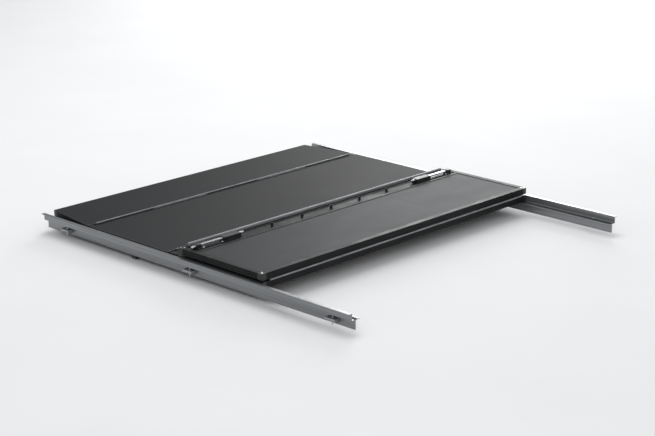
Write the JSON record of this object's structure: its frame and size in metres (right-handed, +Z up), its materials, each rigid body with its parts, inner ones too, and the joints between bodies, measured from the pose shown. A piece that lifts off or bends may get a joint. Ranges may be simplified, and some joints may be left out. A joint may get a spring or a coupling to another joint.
{
  "type": "tonneau cover",
  "caption": "Hard folding cover for a pickup bed: flat black panels with hinges, latches, prop rods, side rails and clamps, shown with the rear panel folded forward.",
  "frame": {"origin": "on the truck's centre line, in the middle of the seat under the front panel's front frame member", "axes": "+X to the truck's right side, +Y towards the cab, +Z up"},
  "size_m": [1.64, 1.7757, 0.133],
  "materials": {
    "textured_top_skin": "matte",
    "lining_skin": "satin",
    "foam_core": "matte",
    "black_frame": "satin",
    "corner_plastic": "matte",
    "rail_aluminium": "satin",
    "seal_rubber": "satin",
    "zinc_hardware": "polished",
    "cast_black": "matte",
    "steel_pin": "satin",
    "prop_steel": "satin",
    "cable_sheath": "satin",
    "jaw_aluminium": "satin"
  },
  "bodies": {
    "rails": {"left_rail": "rail_aluminium", "right_rail": "rail_aluminium", "rail_seals": "seal_rubber", "bulkhead_seal": "seal_rubber", "clamp_screws": "zinc_hardware", "prop_catches": "cast_black", "front_anchor_brackets": "cast_black", "front_hinge_pin": "steel_pin", "panel_1_front_frame": "black_frame", "panel_1_rear_frame": "black_frame", "panel_1_side_frames": "black_frame", "panel_1_corner_caps": "corner_plastic", "panel_1_core": "foam_core", "panel_1_bottom_skin": "lining_skin", "panel_1_top_skin": "textured_top_skin"},
    "second_panel": {"panel_2_front_frame": "black_frame", "panel_2_rear_frame": "black_frame", "panel_2_side_frames": "black_frame", "panel_2_corner_caps": "corner_plastic", "panel_2_core": "foam_core", "panel_2_bottom_skin": "lining_skin", "panel_2_top_skin": "textured_top_skin", "mid_latch_bodies": "cast_black", "mid_release_cable": "cable_sheath", "mid_cable_ferrules": "zinc_hardware", "prop_brackets": "cast_black", "mid_hinge_front_pin": "steel_pin"},
    "mid_hinge": {"mid_hinge_link": "black_frame", "mid_hinge_rear_pin": "steel_pin"},
    "third_panel": {"panel_3_front_frame": "black_frame", "panel_3_rear_frame": "black_frame", "panel_3_side_frames": "black_frame", "panel_3_corner_caps": "corner_plastic", "panel_3_core": "foam_core", "panel_3_bottom_skin": "lining_skin", "panel_3_top_skin": "textured_top_skin", "rear_hinge_pin": "steel_pin"},
    "tail_panel": {"panel_4_front_frame": "black_frame", "panel_4_rear_frame": "black_frame", "panel_4_side_frames": "black_frame", "panel_4_corner_caps": "corner_plastic", "panel_4_core": "foam_core", "panel_4_bottom_skin": "lining_skin", "panel_4_top_skin": "textured_top_skin", "tail_seal": "seal_rubber", "tail_latch_bodies": "cast_black", "tail_release_cable": "cable_sheath", "tail_cable_ferrules": "zinc_hardware"},
    "mid_bolt_left": {"mid_latch_bolt_left": "zinc_hardware"},
    "mid_bolt_right": {"mid_latch_bolt_right": "zinc_hardware"},
    "tail_bolt_left": {"tail_latch_bolt_left": "zinc_hardware"},
    "tail_bolt_right": {"tail_latch_bolt_right": "zinc_hardware"},
    "prop_left": {"prop_rod_left": "prop_steel"},
    "prop_right": {"prop_rod_right": "prop_steel"},
    "left_jaw_1": {"left_clamp_jaw_1": "jaw_aluminium"},
    "left_jaw_2": {"left_clamp_jaw_2": "jaw_aluminium"},
    "left_jaw_3": {"left_clamp_jaw_3": "jaw_aluminium"},
    "right_jaw_1": {"right_clamp_jaw_1": "jaw_aluminium"},
    "right_jaw_2": {"right_clamp_jaw_2": "jaw_aluminium"},
    "right_jaw_3": {"right_clamp_jaw_3": "jaw_aluminium"}
  },
  "joints": [
    {"name": "front_fold", "type": "hinge", "parent": "rails", "child": "second_panel", "pos_m": [0, -0.278, 0.03], "axis": [-1, 0, 0], "range_deg": [0, 90]},
    {"name": "mid_fold_front", "type": "hinge", "parent": "second_panel", "child": "mid_hinge", "pos_m": [0, -0.772, 0.03], "axis": [-1, 0, 0], "range_deg": [0, 90]},
    {"name": "mid_fold_rear", "type": "hinge", "parent": "mid_hinge", "child": "third_panel", "pos_m": [0, -0.817, 0.03], "axis": [-1, 0, 0], "range_deg": [0, 90]},
    {"name": "rear_fold", "type": "hinge", "parent": "third_panel", "child": "tail_panel", "pos_m": [0, -1.297, 0.03], "axis": [-1, 0, 0], "range_deg": [-180, 0]},
    {"name": "mid_latch_left", "type": "slide", "parent": "second_panel", "child": "mid_bolt_left", "axis": [1, 0, 0], "range_m": [0, 0.02], "stiffness_N_per_m": 150, "springref_m": -0.02},
    {"name": "mid_latch_right", "type": "slide", "parent": "second_panel", "child": "mid_bolt_right", "axis": [-1, 0, 0], "range_m": [0, 0.02], "stiffness_N_per_m": 150, "springref_m": -0.02},
    {"name": "tail_latch_left", "type": "slide", "parent": "tail_panel", "child": "tail_bolt_left", "axis": [1, 0, 0], "range_m": [0, 0.02], "stiffness_N_per_m": 150, "springref_m": -0.02},
    {"name": "tail_latch_right", "type": "slide", "parent": "tail_panel", "child": "tail_bolt_right", "axis": [-1, 0, 0], "range_m": [0, 0.02], "stiffness_N_per_m": 150, "springref_m": -0.02},
    {"name": "prop_swing_left", "type": "hinge", "parent": "second_panel", "child": "prop_left", "pos_m": [-0.725, -0.388, -0.009], "axis": [1, 0, 0], "range_deg": [0, 129]},
    {"name": "prop_swing_right", "type": "hinge", "parent": "second_panel", "child": "prop_right", "pos_m": [0.725, -0.388, -0.009], "axis": [1, 0, 0], "range_deg": [0, 129]},
    {"name": "left_clamp_1", "type": "slide", "parent": "rails", "child": "left_jaw_1", "axis": [0, 0, -1], "range_m": [0, 0.01]},
    {"name": "left_clamp_2", "type": "slide", "parent": "rails", "child": "left_jaw_2", "axis": [0, 0, -1], "range_m": [0, 0.01]},
    {"name": "left_clamp_3", "type": "slide", "parent": "rails", "child": "left_jaw_3", "axis": [0, 0, -1], "range_m": [0, 0.01]},
    {"name": "right_clamp_1", "type": "slide", "parent": "rails", "child": "right_jaw_1", "axis": [0, 0, -1], "range_m": [0, 0.01]},
    {"name": "right_clamp_2", "type": "slide", "parent": "rails", "child": "right_jaw_2", "axis": [0, 0, -1], "range_m": [0, 0.01]},
    {"name": "right_clamp_3", "type": "slide", "parent": "rails", "child": "right_jaw_3", "axis": [0, 0, -1], "range_m": [0, 0.01]}
  ],
  "couplings": [
    {"joint": "mid_latch_right", "follows": "mid_latch_left", "ratio": 1},
    {"joint": "tail_latch_right", "follows": "tail_latch_left", "ratio": 1}
  ]
}
